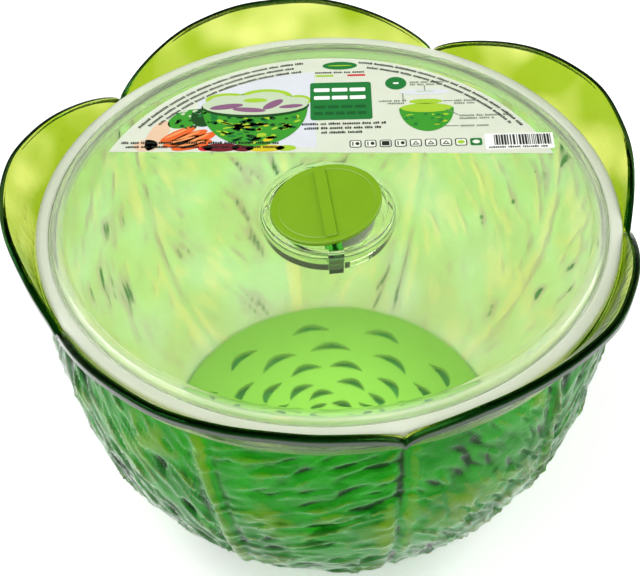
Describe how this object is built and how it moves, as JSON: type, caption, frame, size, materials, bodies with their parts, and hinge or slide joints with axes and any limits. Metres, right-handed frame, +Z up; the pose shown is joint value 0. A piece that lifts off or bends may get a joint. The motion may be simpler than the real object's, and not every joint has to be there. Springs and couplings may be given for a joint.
{
  "type": "salad keeper",
  "caption": "Leaf-shaped salad bowl with a petal rim, a slotted drain grid and a flat clear lid that has a soft seal and a rocking air vent.",
  "frame": {"origin": "centre of the bowl's flat underside, on the bowl's axis", "axes": "+Z up along the bowl's axis, -Y towards the front, where one petal stands slightly left of the middle; the label lies on the +Y part of the lid"},
  "size_m": [0.2487, 0.25, 0.1484],
  "materials": {
    "green_clear_plastic": "clear green, glossy, leaf-veined",
    "green_matte_plastic": "opaque, fine matte",
    "clear_plastic": "clear, polished",
    "milky_soft_seal": "milky, soft satin",
    "printed_film": "printed film, satin",
    "lime_satin_plastic": "satin moulded",
    "dark_green_plastic": "clear dark green, glossy",
    "pale_soft_pad": "soft matte"
  },
  "bodies": {
    "bowl": {"bowl": "green_clear_plastic"},
    "grid": {"drain_grid": "green_matte_plastic"},
    "lid": {"lid_panel": "clear_plastic", "lid_seal": "milky_soft_seal", "label_film": "printed_film", "vent_yoke": "dark_green_plastic"},
    "vent": {"vent_disc": "lime_satin_plastic", "vent_gasket": "pale_soft_pad"}
  },
  "joints": [
    {"name": "lid_lift", "type": "slide", "parent": "bowl", "child": "lid", "axis": [0, 0, 1], "range_m": [0, 0.15]},
    {"name": "vent_rock", "type": "hinge", "parent": "lid", "child": "vent", "pos_m": [0, 0, 0.1341], "axis": [-0.1132, 0.9936, 0], "range_deg": [0, 9]},
    {"name": "grid_lift", "type": "slide", "parent": "bowl", "child": "grid", "axis": [0, 0, 1], "range_m": [0, 0.11]}
  ]
}
